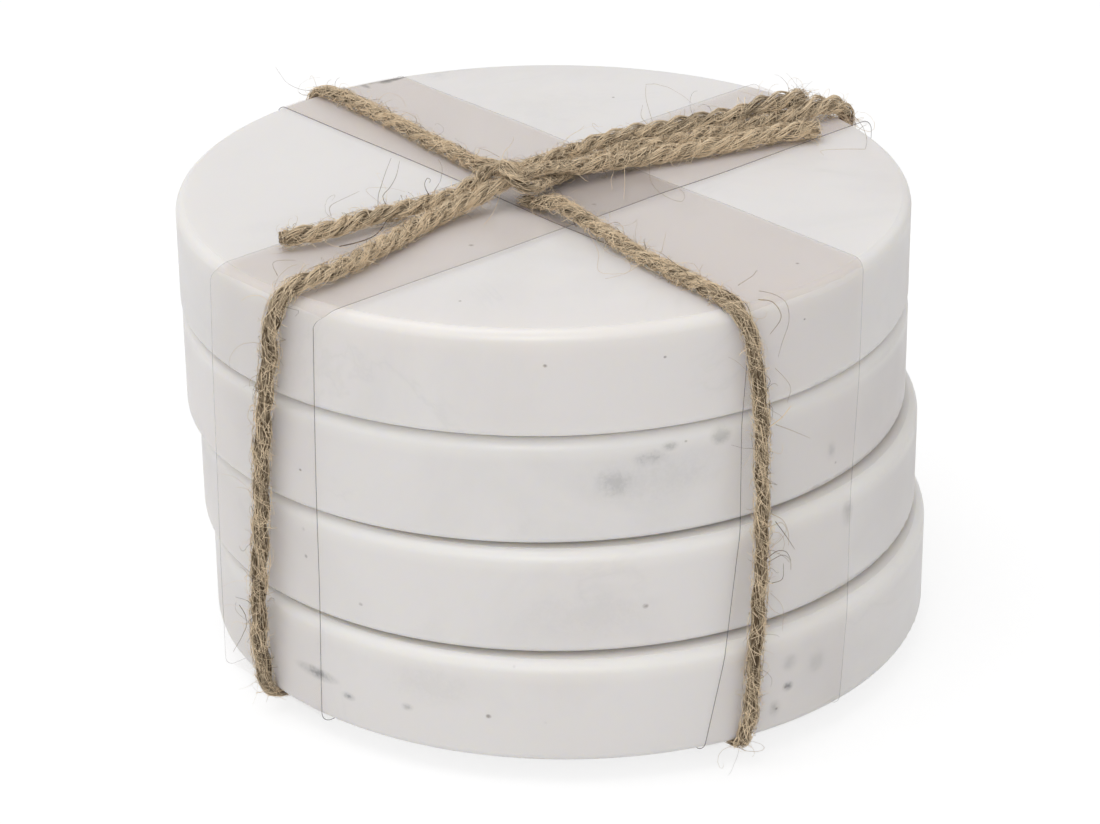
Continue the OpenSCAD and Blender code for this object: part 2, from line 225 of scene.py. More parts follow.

# Film bands, in millimetres and degrees: middle at the top, turn, drift down the side, slack under the film,
# seed of its waves, share by which it lies flat, which cut edge is dark, as painted shade of the thin shadow
# under the lifted film, and its step aside where it was folded, by height for its right and left edge
FILM_LONG = {"at": -1.8, "turn": 89.0, "drift": 6.8, "off": 0.05, "seed": 3, "flat": 0.0, "dark": 1,
             "kink": [(2, 0.8, 1.75), (15, 1.2, 0.6), (33, 1.1, -0.8), (48, 0.3, 0.4), (66, 0, 0)]}
FILM_CROSS = {"at": -2.5, "turn": 1.1, "drift": 2.6, "off": 0.2, "seed": 8, "flat": 0.95, "dark": 0,
              "kink": [(61.2, 2.5, 1.5), (62.2, 1.85, 1.1), (63.2, 0.65, 0.4), (64.2, 0, 0)]}

# Strips across a band, its soft waves, and how far out the corners lie where its points are closest
FILM_STRIPS = 22
FILM_WAVES = 6
CORNER_X = 49

# Camera and stage, in metres and degrees: its place, the way that it looks on the ground, how far it looks
# down, its roll, what the lamps point at, and half the floor's side
CAMERA_PLACE = (-0.2943, -0.3320, 0.2365)
CAMERA_WAY = (0.6626, 0.7490)
CAMERA_DOWN = 25.03
CAMERA_ROLL = -0.595
LAMP_AIM = (0, 0, 0.03)
FLOOR_HALF = 3.0


class CoasterStackSettings(bpy.types.PropertyGroup):
    """Sizes and colours of the tied stack that a user would change"""

    lens: FloatProperty(
        name="Lens", description="Focal length of the camera", default=114.2, unit="CAMERA")
    twine_diameter: FloatProperty(
        name="Twine diameter", description="Diameter of the twine where it isn't pressed",
        default=0.003, unit="LENGTH")
    lay_length: FloatProperty(
        name="Lay length", description="Length of twine in which a ply goes round once",
        default=0.0098, unit="LENGTH")
    fibres: IntProperty(
        name="Fibre bundles", description="Bundles of fibre in each ply", default=34, min=6, max=40)
    main_body: FloatProperty(
        name="Main body", description="Share of the twine's diameter that the main length's plies fill",
        default=0.84, min=0.6, max=1.0)
    second_body: FloatProperty(
        name="Second body", description="Share of the twine's diameter that the second length's plies fill",
        default=0.72, min=0.6, max=1.0)
    fuzz: FloatProperty(
        name="Fuzz", description="Short hairs on each millimetre of twine", default=17.0, min=0)
    strays: FloatProperty(
        name="Stray hairs", description="Long stray hairs on each millimetre of twine", default=0.9, min=0)
    film_thickness: FloatProperty(
        name="Film thickness", description="Thickness of the clear film", default=0.00012, unit="LENGTH")
    long_width: FloatProperty(
        name="Long band width", description="Width of the band that runs front to back",
        default=0.021, unit="LENGTH")
    cross_width: FloatProperty(
        name="Cross band width", description="Width of the band that runs left to right",
        default=0.022, unit="LENGTH")
    film_tint: FloatVectorProperty(
        name="Film tint", description="Colour that the film lays over the stone",
        default=(0.46, 0.30, 0.21), subtype="COLOR", size=3)
    marble_white: FloatVectorProperty(
        name="Marble white", description="Ground colour of the marble",
        default=(0.81, 0.785, 0.77), subtype="COLOR", size=3)
    marble_grey: FloatVectorProperty(
        name="Marble grey", description="Colour of the marble's clouds and veins",
        default=(0.52, 0.52, 0.515), subtype="COLOR", size=3)
    jute_light: FloatVectorProperty(
        name="Jute light", description="Palest jute fibre",
        default=(0.90, 0.73, 0.51), subtype="COLOR", size=3)
    jute_dark: FloatVectorProperty(
        name="Jute dark", description="Darkest jute fibre",
        default=(0.12, 0.078, 0.04), subtype="COLOR", size=3)
    felt: FloatVectorProperty(
        name="Felt", description="Colour of the felt dots",
        default=(0.62, 0.61, 0.58), subtype="COLOR", size=3)
    floor: FloatVectorProperty(
        name="Floor", description="Colour of the floor",
        default=(0.80, 0.80, 0.80), subtype="COLOR", size=3)


def settings():
    return bpy.context.scene.coaster_stack


# Materials


class Nodes:
    """Short calls for the nodes of one tree. A socket is fed a number, a colour or another socket."""

    def __init__(self, tree):
        self.tree = tree

    def feed(self, socket, value):
        if isinstance(value, bpy.types.NodeSocket):
            self.tree.links.new(value, socket)
        else:
            socket.default_value = (*value, 1) if socket.type == "RGBA" and len(value) == 3 else value

    def add(self, kind, properties=None, **sockets):
        """A node of that kind, with its properties set and its sockets fed."""
        node = self.tree.nodes.new("ShaderNode" + kind)
        for key, value in (properties or {}).items():
            setattr(node, key, value)
        for key, value in sockets.items():
            self.feed(node.inputs[key.replace("_", " ")], value)
        return node

    def maths(self, operation, first, second=0.0, clamp=False):
        node = self.add("Math", {"operation": operation, "use_clamp": clamp})
        self.feed(node.inputs[0], first)
        self.feed(node.inputs[1], second)
        return node.outputs[0]

    def times(self, first, second):
        return self.maths("MULTIPLY", first, second)

    def plus(self, first, second, clamp=False):
        return self.maths("ADD", first, second, clamp)

    def minus(self, first, second):
        return self.maths("SUBTRACT", first, second)

    def over(self, share, first, second, mode="MIX"):
        """The second colour laid over the first by a share."""
        node = self.add("Mix", {"data_type": "RGBA", "blend_type": mode})
        for index, value in ((0, share), (6, first), (7, second)):
            self.feed(node.inputs[index], value)
        return node.outputs[2]

    def ramp(self, source, *stops):
        """A ramp through stops, each a place and a grey level or a colour."""
        node = self.add("ValToRGB", Fac=source)
        elements = node.color_ramp.elements
        while len(elements) < len(stops):
            elements.new(0.5)
        for element, (place, level) in zip(elements, stops):
            element.position = place
            element.color = (*level, 1) if isinstance(level, tuple) else (level, level, level, 1)
        return node.outputs["Color"]

    def place(self, move=(0, 0, 0), scale=(1, 1, 1)):
        """Coordinates in the piece's own metres, moved and stretched."""
        own = self.add("TexCoord").outputs["Object"]
        return self.add("Mapping", Vector=own, Location=move, Scale=scale).outputs["Vector"]

    def noise(self, vector, scale, detail=3.0, roughness=0.55, distortion=0.0):
        return self.add("TexNoise", Vector=vector, Scale=scale, Detail=detail, Roughness=roughness,
                        Distortion=distortion).outputs["Fac"]

    def ball(self, middle, half):
        """One at the middle of an ellipsoid in millimetres, falling to nothing at its skin."""
        near = self.place([-m / h for m, h in zip(middle, half)], [1 / (h * MM) for h in half])
        return self.add("TexGradient", {"gradient_type": "SPHERICAL"}, Vector=near).outputs["Fac"]


class Finish(Nodes):
    """A material in the making: its nodes and its Principled shader."""

    def __init__(self, name):
        self.mat = bpy.data.materials.new(name)
        self.mat.use_nodes = True
        super().__init__(self.mat.node_tree)
        self.shader = self.tree.nodes["Principled BSDF"]

    def set(self, **sockets):
        for key, value in sockets.items():
            self.feed(self.shader.inputs[key.replace("_", " ")], value)

    def bump(self, height, distance, strength=1.0):
        node = self.add("Bump", Height=height, Strength=strength, Distance=distance)
        self.set(Normal=node.outputs["Normal"])


# Marks in the stone that stand alone, and painted shade, by coaster: middle and half sizes in millimetres,
# and strength. One that is wider than the size set just below is a smooth, warm painted shade that darkens
# the coaster's right side, and the others are grey haze with flecks in it.
SIDE_SHADE_SIZE = 15
MARKS_AND_SIDE_SHADE = [
    [((-49.3, -7.7, 9.5), (3.5, 4.6, 1.1), 0.8), ((-48.6, -13.4, 7.9), (2, 1.3, 0.7), 0.8),
     ((-45.8, -22.2, 8.9), (2, 1, 0.7), 0.45), ((-44, -25, 13), (8, 9, 4), 0.08),
     ((-5.4, -52.3, 12.7), (1.8, 2, 1.6), 0.25), ((-0.6, -52.7, 11.3), (2.2, 2, 2.2), 0.2),
     ((-5.6, -52.3, 9.2), (1.1, 1.6, 0.9), 0.9), ((-7.7, -52, 6.5), (1.2, 1.6, 1.5), 0.4),
     ((30, 40, 9), (9, 8, 3), 0.4)],
    [((7.2, -50, 29.8), (1.5, 3, 2.5), 0.4), ((-30, -40, 24), (12, 12, 5), 0.07),
     ((-36, 34, 26), (8, 8, 3), 0.4), ((34, -36, 27), (32, 32, 14), 0.55)],
    [((-26.4, -41.4, 42), (3.2, 3.2, 2.4), 0.28), ((-22.4, -43.8, 44.9), (2.6, 2.6, 1.4), 0.45),
     ((-20, -44.8, 46.2), (1.5, 1.5, 0.9), 0.6), ((-13.2, -47, 46.4), (1.9, 1.9, 1.6), 0.5),
     ((5.7, -48.4, 38.6), (1.2, 2, 1.6), 0.35), ((-22, -43, 42), (14, 9, 5), 0.10),
     ((34, -36, 41), (34, 34, 14), 0.7)],
    [((10, 50, 63), (7, 2.2, 3), 0.95), ((20, 46, 62), (8, 5, 3), 0.25), ((-30, 10, 63), (12, 16, 4), 0.05),
     ((22, 22, 63), (14, 10, 4), 0.05), ((46, 18, 55), (4, 9, 4), 0.2), ((40, -34, 53), (26, 26, 13), 0.4),
     ((10.2, 48, 63.3), (1.5, 1.1, 1), 1.4), ((12.4, 47.9, 63.3), (2.4, 0.9, 1), 1.3),
     ((6.7, 48.6, 63.3), (0.6, 1.6, 1), 1.3)],
]
SPECKS = [
    [(-40.1, -32, 9.5, 0.5), (-5.9, -52.4, 9.2, 0.4), (-7.4, -52.1, 6.4, 0.3)],
    [(-23.8, -44.3, 24.6, 0.6), (-47.5, -15.3, 22, 0.5), (-41, -28, 20, 0.3), (20, 46, 24, 0.6)],
    [(-36.2, -33.3, 49.6, 0.3), (-17.9, -45.4, 46.5, 0.3), (-49.5, -6.4, 39, 0.3), (6.7, -48.4, 36.4, 0.35)],
    [(-33.6, -36.5, 58.8, 0.4), (-20.9, -44.7, 58.8, 0.3), (4.8, -42.3, 63.4, 0.35), (-0.4, -9.2, 63.4, 0.4),
     (-21.9, -8.9, 63.4, 0.5), (-0.6, -49, 59.3, 0.25), (30, 20, 63.4, 0.3), (-35, -22, 63.4, 0.3)],
]
BLUSH = (0.80, 0.735, 0.71)
BROWN_SPECK = (0.22, 0.20, 0.18)
# Colour of the painted shade on the coasters' right sides
PAINTED_SIDE_SHADE = (0.34, 0.275, 0.25)
GREY_SMUDGE = (0.245, 0.25, 0.255)
DARK_SPECK = (0.17, 0.13, 0.105)
# Painted highlight along each coaster's rounded top edge: its colour, and how strongly each coaster takes it,
# lowest first
PAINTED_RIM_HIGHLIGHT = (0.93, 0.905, 0.86)
RIM_HIGHLIGHT_SHARES = [0.45, 0.45, 0.45, 0.2]


def marble(index):
    """Honed white marble: soft clouds, a few thin veins, fine specks, and the coaster's own marks, with
    painted shade over the right side of the upper three coasters and a painted highlight along the rounded
    top edge.
    """
    s = settings()
    n = Finish("marble_%d" % (index + 1))
    own = n.place()
    place = n.place(move=(0.31 * index, 0.17 * index, 0.09 * index))
    clouds = n.ramp(n.noise(place, 34, 5, 0.6, 0.5), (0.46, 0), (0.74, 1))
    base = n.over(n.times(clouds, 0.2), s.marble_white, s.marble_grey)
    blush = n.ramp(n.noise(place, 22, 3, 0.5), (0.5, 0), (0.7, 1))
    base = n.over(n.times(blush, 0.34), base, BLUSH)
    away = n.maths("ABSOLUTE", n.minus(n.noise(place, 18, 6, 0.62, 1.1), 0.5))
    broken = n.ramp(n.noise(place, 48, 2), (0.52, 0), (0.66, 1))
    vein = n.times(n.ramp(away, (0, 1), (0.010, 0.30), (0.024, 0)), broken)
    base = n.over(n.times(vein, 0.12), base, s.marble_grey)
    cells = n.add("TexVoronoi", {"feature": "F1"}, Vector=place, Scale=150)
    chosen = n.ramp(n.noise(place, 90, 1), (0.62, 0), (0.68, 1))
    speck = n.times(n.ramp(cells.outputs["Distance"], (0.03, 1), (0.055, 0)), chosen)
    base = n.over(n.times(speck, 0.5), base, BROWN_SPECK)
    soft = n.noise(own, 420, 5, 0.62)
    grit = n.plus(n.times(n.noise(own, 2000, 3, 0.6), 0.5), n.times(soft, 0.5))
    for middle, half, strength in MARKS_AND_SIDE_SHADE[index]:
        ball = n.ball(middle, half)
        # A wide one is painted shade over the coaster's right side, and a small one is a mark in the stone.
        if max(half) > SIDE_SHADE_SIZE:
            mark_and_shade, colour = n.times(ball, 0.7), PAINTED_SIDE_SHADE
        else:
            haze = n.times(n.times(ball, soft), 1.4)
            flecks = n.ramp(n.plus(grit, n.times(ball, 0.22)), (0.54, 0), (0.84, 0.8))
            flecks = n.times(flecks, n.ramp(ball, (0.02, 0), (0.5, 1)))
            mark_and_shade, colour = n.plus(haze, flecks, clamp=True), GREY_SMUDGE
        base = n.over(n.times(mark_and_shade, strength), base, colour)
    ragged = n.minus(n.times(grit, 3), 0.7)
    for x, y, z, size in SPECKS[index]:
        dot = n.ramp(n.times(n.ball((x, y, z), (size, size, size * 0.8)), ragged), (0.08, 0), (0.6, 1))
        base = n.over(n.times(dot, 0.62), base, DARK_SPECK)
    low = BASE_GAP + index * LAYER
    # A painted highlight along the rounded top edge, where it catches the light: it rises from below the
    # bevel and, on the top coaster, fades out again at the top face.
    glow = RIM_HIGHLIGHT_SHARES[index]
    levels = [(COASTER_T - TOP_EDGE_R - 1.6, 0), (COASTER_T - TOP_EDGE_R * 0.6, glow)]
    if index == 3:
        levels += [(COASTER_T - 0.3, glow), (COASTER_T - 0.04, 0)]
    height = n.add("SeparateXYZ", Vector=own).outputs["Z"]
    share = n.maths("DIVIDE", n.minus(height, low * MM), COASTER_T * MM)
    base = n.over(n.ramp(share, *((z / COASTER_T, level) for z, level in levels)), base, PAINTED_RIM_HIGHLIGHT)
    n.set(Base_Color=base, Roughness=n.ramp(n.noise(place, 90, 4), (0.3, 0.30), (0.7, 0.42)), IOR=1.5,
          Subsurface_Weight=0.7, Subsurface_Radius=(1.0, 0.9, 0.62), Subsurface_Scale=0.003)
    n.bump(n.plus(n.noise(place, 900), n.times(n.noise(place, 60), 2)), 0.04 * MM, 0.5)
    return n.mat


def felt():
    """Pressed felt with short matted hairs."""
    n = Finish("felt_dots")
    place = n.place()
    shade = n.ramp(n.noise(place, 1800, 5, 0.7), (0.3, 0.6), (0.7, 1))
    n.set(Base_Color=n.over(1, settings().felt, shade, "MULTIPLY"), Roughness=0.95, Sheen_Weight=0.25)
    n.bump(n.noise(place, 2600, 4, 0.7), 0.08 * MM)
    return n.mat


def jute():
    """Jute fibre: each bundle has its own shade, with painted shade and painted light laid into it, and it is
    streaked and dull.
    """
    n = Finish("jute_fibre")
    place = n.place()
    own = n.add("Attribute", {"attribute_name": SHADE}).outputs["Fac"]
    slow = n.times(n.noise(place, 160), 0.35)
    fine = n.times(n.noise(place, 2400, 3, 0.7), 0.55)
    mixed = n.minus(n.plus(n.plus(own, slow), fine), 0.45)
    light, dark = tuple(settings().jute_light), tuple(settings().jute_dark)
    middle = tuple((a + b) / 2 for a, b in zip(light, dark))
    n.set(Base_Color=n.ramp(mixed, (0, dark), (0.45, middle), (1, light)), Roughness=0.82,
          Specular_IOR_Level=0.3, Sheen_Weight=0.1)
    n.bump(n.noise(place, 3200, 3, 0.7), 0.05 * MM, 0.7)
    return n.mat


def film_face(name, alpha):
    """Clear film seen through its face: a faint tint with soft waves."""
    n = Finish(name)
    place = n.place(scale=(1, 1, 0.35))
    n.set(Base_Color=settings().film_tint, Alpha=alpha, IOR=1.45,
          Roughness=n.ramp(n.noise(place, 120), (0.3, 0.14), (0.7, 0.26)))
    n.bump(n.noise(place, 150, 2), 0.4 * MM, 0.3)


def film_edge(name, dark, pale, alpha):
    """The cut edge of the film, which looks like a thin line: the pale one gathers light, and the dark one is
    painted shade, the thin shadow under the lifted film.
    """
    n = Finish(name)
    n.set(Base_Color=n.ramp(n.noise(n.place(), 300), (0.3, dark), (0.7, pale)), Alpha=alpha, Roughness=0.25)


def film_finishes():
    """Top face, side face, darker edge and paler edge of the film, made once for both bands. The side face
    takes a fainter tint than the top, as painted reflection of the bright surroundings, and the darker edge
    is painted shade.
    """
    names = ("clear_film_top", "clear_film_side", "clear_film_edge_dark", "clear_film_edge_pale")
    if names[0] not in bpy.data.materials:
        film_face(names[0], 0.082)
        film_face(names[1], 0.02)
        film_edge(names[2], (0.09, 0.075, 0.08), (0.16, 0.14, 0.145), 0.8)
        film_edge(names[3], (0.36, 0.33, 0.32), (0.5, 0.46, 0.45), 0.3)
    return [bpy.data.materials[name] for name in names]


# Mesh helpers. A part is its points, quads, triangles and shades, numbered from nought.


def unit(vectors):
    """The same vectors with a length of one."""
    return vectors / np.maximum(np.linalg.norm(vectors, axis=-1, keepdims=True), 1e-9)


def run_of(points):
    """How far along its line each point is."""
    return np.concatenate([[0], np.cumsum(np.linalg.norm(np.diff(points, axis=0), axis=1))])


def smooth_curve(rows, count):
    """That many points on one smooth curve through the rows, and where each is along the rows' chord."""
    chord = run_of(rows)
    lean = np.gradient(rows, chord, axis=0)
    at = np.linspace(0, chord[-1], count)
    seg = np.clip(np.searchsorted(chord, at, side="right") - 1, 0, len(rows) - 2)
    h = (chord[seg + 1] - chord[seg])[:, None]
    t = (at - chord[seg])[:, None] / h
    curve = ((2 * t**3 - 3 * t**2 + 1) * rows[seg] + (t**3 - 2 * t**2 + t) * h * lean[seg]
             + (3 * t**2 - 2 * t**3) * rows[seg + 1] + (t**3 - t**2) * h * lean[seg + 1])
    return curve, at


def humps(at, rows):
    """The sum of soft humps, each a middle, a width and an amount."""
    return sum(amount * np.exp(-(((at - middle) / wide) ** 2)) for middle, wide, amount in rows)


def wander(rng, count, s, spread):
    """Rows of smooth random values at the samples of a strand, each drifting over about spread mm."""
    values = rng.normal(0, 1, (count, int(s[-1] / spread) + 4))
    at = s / spread
    low = at.astype(int)
    part = at - low
    part = part * part * (3 - 2 * part)
    return values[:, low] * (1 - part) + values[:, low + 1] * part


def joined(parts):
    """Many parts as one, with its quads and triangles in one list."""
    first = np.cumsum([0] + [len(part[0]) for part in parts])
    faces = [np.concatenate([part[kind] + start for part, start in zip(parts, first)]) for kind in (1, 2)]
    return np.concatenate([part[0] for part in parts]), faces, np.concatenate([part[3] for part in parts])


def tubes(rings, tips, tones):
    """A part of closed tubes, one for each row of rings and pair of tips, with a tone at each ring."""
    count, along, sides = rings.shape[:3]
    ring = np.arange(sides)
    after = (ring + 1) % sides
    base = np.arange(along - 1)[:, None] * sides
    quads = np.stack([base + ring, base + after, base + sides + after, base + sides + ring], -1)
    end, last = along * sides, (along - 1) * sides
    caps = np.concatenate([np.stack([after, ring, np.full(sides, end)], 1),
                           np.stack([ring + last, after + last, np.full(sides, end + 1)], 1)])
    points = np.concatenate([rings.reshape(count, -1, 3), tips], 1)
    start = (np.arange(count) * points.shape[1])[:, None, None]
    shades = np.concatenate([np.repeat(tones, sides, 1), tones[:, [0, -1]]], 1)
    quads = (quads.reshape(-1, 4) + start).reshape(-1, 4)
    return points.reshape(-1, 3), quads, (caps + start).reshape(-1, 3), shades.ravel()


def mesh_piece(name, points, faces, materials, face_materials=None, shades=None):
    """A piece from points in millimetres, never below the floor, and from lists of quads and triangles."""
    points = np.array(points)
    points[:, 2] = np.maximum(points[:, 2], 0)
    mesh = bpy.data.meshes.new(name)
    counts = np.concatenate([np.full(len(f), f.shape[1]) for f in faces]).astype(np.int32)
    corners = np.concatenate([f.ravel() for f in faces]).astype(np.int32)
    mesh.vertices.add(len(points))
    mesh.vertices.foreach_set("co", (points * MM).astype(np.float32).ravel())
    mesh.loops.add(len(corners))
    mesh.loops.foreach_set("vertex_index", corners)
    mesh.polygons.add(len(counts))
    mesh.polygons.foreach_set("loop_start", np.concatenate([[0], np.cumsum(counts)[:-1]]).astype(np.int32))
    if face_materials is not None:
        mesh.polygons.foreach_set("material_index", np.asarray(face_materials, np.int32))
    mesh.update(calc_edges=True)
    mesh.validate()
    mesh.polygons.foreach_set("use_smooth", np.ones(len(mesh.polygons), bool))
    if shades is not None:
        layer = mesh.attributes.new(SHADE, "FLOAT", "POINT")
        layer.data.foreach_set("value", np.asarray(shades, np.float32))
    for mat in materials:
        mesh.materials.append(mat)
    obj = bpy.data.objects.new(name, mesh)
    bpy.context.scene.collection.objects.link(obj)
    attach(obj, BODY)
    return obj


# Twine


class Strand:
    """The centreline of one length of twine, evenly sampled, with its frame and its squeeze.

    s is the run, p the place, t the direction, v the way out of the stack, u across it, and w and h the
    width and height. The plies reach body from the middle, and hairs fill the rest of the diameter d."""

    def __init__(self, rows, diameter, body):
        rows_at = np.array([r[:3] for r in rows], float)
        squeeze = np.array([(r[3] + SQUEEZE_WIDER, min(r[4] + SQUEEZE_HIGHER, diameter)) if len(r) > 3
                            else (diameter, diameter) for r in rows], float)
        chord = run_of(rows_at)
        line, line_at = smooth_curve(rows_at, int(chord[-1] / LINE_STEP))
        run = run_of(line)
        self.s = np.linspace(0, run[-1], int(round(run[-1] / TWINE_STEP)) + 1)
        self.step = self.s[1]
        self.p = np.stack([np.interp(self.s, run, line[:, k]) for k in range(3)], 1)
        self.row_s = np.interp(chord, line_at, run)
        chord_at = np.interp(self.s, run, line_at)
        self.w, self.h = (np.interp(chord_at, chord, size) for size in squeeze.T)
        self.t = unit(np.gradient(self.p, axis=0))
        share = np.minimum(1, (COASTER_R - CORE_DEPTH) / np.maximum(np.hypot(*self.p[:, :2].T), 1e-6))
        core = np.concatenate([self.p[:, :2] * share[:, None],
                               np.clip(self.p[:, 2:], CORE_DEPTH, STACK_TOP - CORE_DEPTH)], 1)
        out = unit(self.p - core)
        kernel = np.ones(9) / 9
        out = np.stack([np.convolve(np.pad(out[:, k], 4, mode="edge"), kernel, "valid") for k in range(3)], 1)
        self.v = unit(out - (out * self.t).sum(1)[:, None] * self.t)
        self.u = np.cross(self.t, self.v)
        self.d = diameter
        self.body = diameter / 2 * body
        self.p = self.p - self.v * (diameter / 2 - self.body)

    def index(self, s):
        return int(round(s / self.step))

    def shown(self, first_s, last_s):
        """The samples of a stretch where hairs grow."""
        return np.flatnonzero((self.s >= first_s) & (self.s <= last_s) & (self.p[:, 2] > FOOT_HEIGHT))

    def surface(self, s, angle, radius):
        """Points at that run, angle and distance from the centreline, squeezed as the twine is."""
        k = np.clip(s / self.step, 0, len(self.s) - 1.001)
        low = k.astype(int)
        part = (k - low)[..., None]

        def at(a):
            return a[low] * (1 - part) + a[low + 1] * part

        wide = at(self.w[:, None])[..., 0] / self.d
        high = at(self.h[:, None])[..., 0] / self.d
        return (at(self.p) + at(self.u) * (radius * wide * np.cos(angle))[..., None]
                + at(self.v) * (radius * high * np.sin(angle))[..., None])


class Fibres:
    """Every bundle of fibre in one strand: its two offsets from the centreline, its thickness and shade at
    each sample, and its first and last sample. The shade is the bundle's own tone with painted shade and
    painted light laid on it."""

    def __init__(self, strand, seed, lay, per_ply, fray_start, fray_end, swells, tones):
        rng = np.random.default_rng(seed)
        s, total, radius = strand.s, strand.s[-1], strand.body
        ply_r, ply_at = PLY_RADIUS * radius, PLY_PLACE * radius
        steep = np.abs(strand.t[:, 2])
        turn = 2 * math.pi / lay * np.cumsum(1 - 0.45 * steep) * strand.step + rng.uniform(0, 6)
        turn = turn + 0.25 * wander(rng, 1, s, 9)[0]
        swell = humps(s, swells)
        # Painted shade and light: steep lengths, such as the legs down the sides, are darker, and the tone
        # humps paint given runs lighter or darker.
        light = 0.90 - 0.62 * steep + humps(s, tones)
        self.strand, self.bundles = strand, []
        for ply in range(PLIES):
            angle = turn + ply * 2 * math.pi / PLIES
            breath = 1 + 0.07 * wander(rng, 1, s, 5)[0]
            tone = 0.07 * rng.normal() + 0.07 * wander(rng, 1, s, 12)[0]
            away = ply_at * breath * (1 - 0.18 * steep)
            cx, cy = away * np.cos(angle), away * np.sin(angle)
            ones = np.ones(len(s))
            # Each ply's core is a dark tube, painted shade that shows between the plies.
            self.bundles.append((cx, cy, CORE_SHARE * ply_r * ones, 0.16 * ones, 0, len(s) - 1))
            drift, depth, girth, mood = (wander(rng, per_ply, s, spread) for spread in (2.6, 1.8, 2.0, 2.4))
            for k in range(per_ply):
                way = 2 * math.pi * k / per_ply - 0.16 * s + 0.36 * drift[k]
                reach = ply_r * (0.80 + 0.17 * np.clip(depth[k], -2.2, 1.3)) * breath
                # A cut end is rounded, so a bundle that lies further out stops further in.
                rounding = 0.9 * (np.hypot(cx, cy) + reach * np.cos(way - angle))[[0, -1]] / radius
                start, end = (int((max(rounding[side], 0) + rng.uniform(0, fray * 0.3)) / strand.step)
                              for side, fray in enumerate((fray_start, fray_end)))
                open_up = (np.clip(1 - s / fray_start, 0, 1) ** 1.6
                           + np.clip(1 - (total - s) / fray_end, 0, 1) ** 1.6)
                loose = 1 + swell + open_up * (0.15 + 0.15 * rng.normal())
                x = (cx + reach * np.cos(way)) * loose
                y = (cy + reach * np.sin(way)) * loose + 1.4 * swell * radius
                thick = 0.25 * ply_r * (13 / per_ply) * (1 + 0.36 * np.clip(girth[k], -1.8, 1.8))
                # Painted shade: bundles that face into the grooves between the plies, and those that lie
                # deeper, are darker.
                inward_shade = (0.5 - 0.5 * np.cos(way - angle)) * (1 - 0.4 * steep)
                tint = light + 0.23 * rng.normal() + 0.14 * mood[k] + 0.15 * depth[k] - 0.6 * inward_shade + tone
                self.bundles.append((x, y, thick, tint, start, len(s) - 1 - end))

    def piece(self, name, mat, first, last):
        """The bundles between two samples, as one object."""
        strand = self.strand
        wide, high = (strand.w / strand.d)[:, None], (strand.h / strand.d)[:, None]
        around = 2 * math.pi * (np.arange(3) + 0.5) / 3
        parts = []
        for x, y, thick, tint, start, end in self.bundles:
            low, top = max(start, first), min(end, last)
            if top - low < 2:
                continue
            cut = slice(low, top + 1)
            x, y, thick = x[cut, None], y[cut, None], thick[cut, None]
            ring = (strand.p[cut, None]
                    + strand.u[cut, None] * ((x + thick * np.cos(around)) * wide[cut])[..., None]
                    + strand.v[cut, None] * ((y + thick * np.sin(around)) * high[cut])[..., None])
            middle = ring.mean(1)
            tips = np.stack([middle[0] - strand.t[low] * BUNDLE_TIP, middle[-1] + strand.t[top] * BUNDLE_TIP])
            parts.append(tubes(ring[None], tips[None], tint[None, cut]))
        points, faces, shades = joined(parts)
        return mesh_piece(name, points, faces, [mat], shades=shades)


def keep_outside(points, margin=0.12):
    """Hairs are pushed off the coasters' rounded skin, and stay above the floor."""
    z = points[..., 2]
    layer = np.clip((z - BASE_GAP) / LAYER, 0, 3).astype(int)
    flat = points[..., :2] - np.array(SLIP)[layer]
    r = np.linalg.norm(flat, axis=-1)
    aside = np.maximum(r - COASTER_R + TOP_EDGE_R, 0)
    over = np.maximum(z - STACK_TOP + TOP_EDGE_R, 0)
    reach = np.maximum(np.hypot(aside, over), 1e-6)
    push = np.where(z > BASE_GAP, np.clip(TOP_EDGE_R + margin - reach, 0, 1.5), 0) / reach
    points[..., :2] += flat / np.maximum(r, 1e-6)[..., None] * (push * aside)[..., None]
    points[..., 2] = np.maximum(z + push * over, 0.05)
    return points


